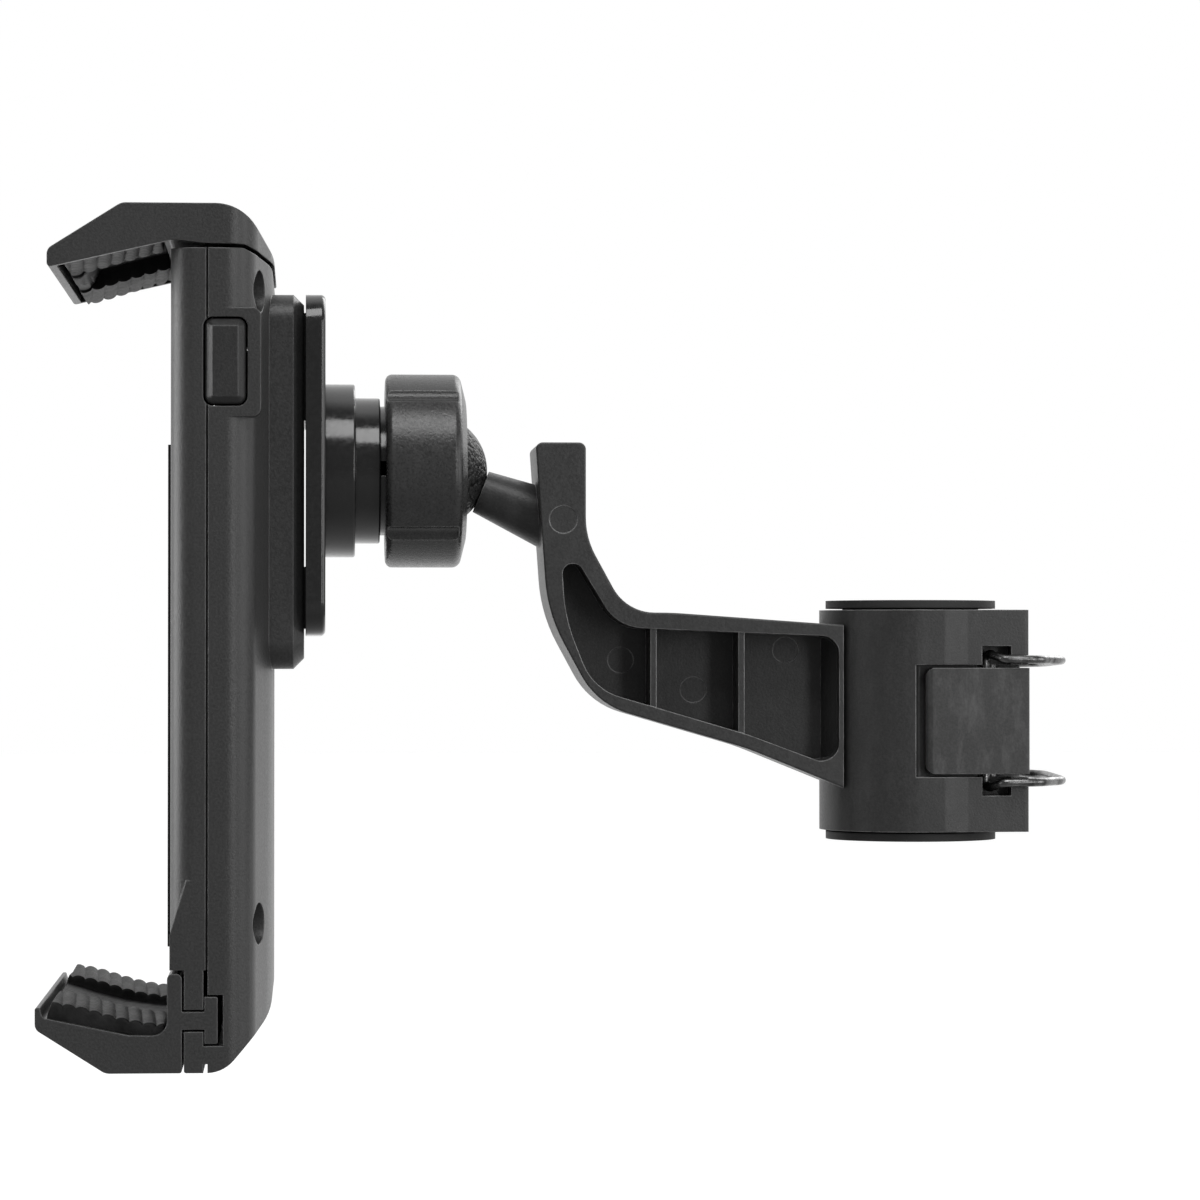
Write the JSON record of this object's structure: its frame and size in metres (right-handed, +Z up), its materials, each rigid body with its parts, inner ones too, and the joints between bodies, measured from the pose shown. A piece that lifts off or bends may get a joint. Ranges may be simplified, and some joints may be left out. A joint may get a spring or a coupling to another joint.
{
  "type": "headrest tablet mount",
  "caption": "Car headrest tablet mount: a tablet holder with sprung jaws on a ball-jointed neck, carried by a curved arm with a latching collar for a round headrest post.",
  "frame": {"origin": "on the headrest post's axis, halfway up the collar", "axes": "+Z up along the post, +X from the tablet holder to the post and its latch, +Y away from the side with the latch lever, along the width of the holder"},
  "size_m": [0.1803, 0.0818, 0.1466],
  "materials": {
    "arm": "satin black nylon",
    "liner": "matt black rubber",
    "pin": "plain steel pin",
    "lever": "satin black nylon",
    "wire": "bright spring steel wire",
    "ball": "rough textured black",
    "neck": "glossy black",
    "nut": "glossy black",
    "shell": "satin black, lightly textured",
    "pad": "matt black rubber",
    "screw": "blackened steel",
    "button": "satin black"
  },
  "bodies": {
    "arm": {"arm_and_collar": "arm", "post_liner": "liner", "latch_pin": "pin"},
    "lever": {"latch_lever": "lever"},
    "bail": {"bail_wire": "wire"},
    "ball": {"ball": "ball"},
    "seat": {"seat_ring": "neck"},
    "holder": {"neck_socket": "neck", "socket_plate": "neck", "rear_shell": "shell", "front_shell": "shell", "front_pad": "pad", "shell_screws": "screw"},
    "nut": {"collar_nut": "nut"},
    "upper_jaw": {"upper_jaw": "shell", "upper_pad_near": "pad", "upper_pad_far": "pad"},
    "lower_jaw": {"lower_jaw": "shell", "lower_pad_near": "pad", "lower_pad_far": "pad"},
    "button_near": {"release_button_near": "button"},
    "button_far": {"release_button_far": "button"}
  },
  "joints": [
    {"name": "lever", "type": "hinge", "parent": "arm", "child": "lever", "pos_m": [0.013, -0.0104, 0], "axis": [0, 0, 1], "range_deg": [0, 75]},
    {"name": "bail", "type": "hinge", "parent": "lever", "child": "bail", "pos_m": [0.0116, -0.0126, 0], "axis": [0, 0, 1], "range_deg": [-150, 0]},
    {"name": "ball_turn", "type": "hinge", "parent": "arm", "child": "ball", "pos_m": [-0.0863, 0, 0.0444], "axis": [0.9272, 0, -0.3746], "continuous": true},
    {"name": "tilt", "type": "hinge", "parent": "ball", "child": "seat", "pos_m": [-0.0863, 0, 0.0444], "axis": [0, 1, 0], "range_deg": [-5, 49]},
    {"name": "neck_turn", "type": "hinge", "parent": "seat", "child": "holder", "pos_m": [-0.0863, 0, 0.0444], "axis": [1, 0, 0], "continuous": true},
    {"name": "nut_turn", "type": "hinge", "parent": "holder", "child": "nut", "pos_m": [-0.0863, 0, 0.0444], "axis": [1, 0, 0], "range_deg": [0, 360]},
    {"name": "upper_jaw_slide", "type": "slide", "parent": "holder", "child": "upper_jaw", "axis": [0, 0, 1], "range_m": [0, 0.06]},
    {"name": "lower_jaw_slide", "type": "slide", "parent": "holder", "child": "lower_jaw", "axis": [0, 1, 0], "range_m": [-0.02, 0.02]},
    {"name": "press_near", "type": "slide", "parent": "holder", "child": "button_near", "axis": [0, 1, 0], "range_m": [0, 0.0025], "stiffness_N_per_m": 600, "springref_m": -0.001},
    {"name": "press_far", "type": "slide", "parent": "holder", "child": "button_far", "axis": [0, -1, 0], "range_m": [0, 0.0025], "stiffness_N_per_m": 600, "springref_m": -0.001}
  ],
  "couplings": [
    {"joint": "bail", "follows": "lever", "ratio": -2}
  ]
}
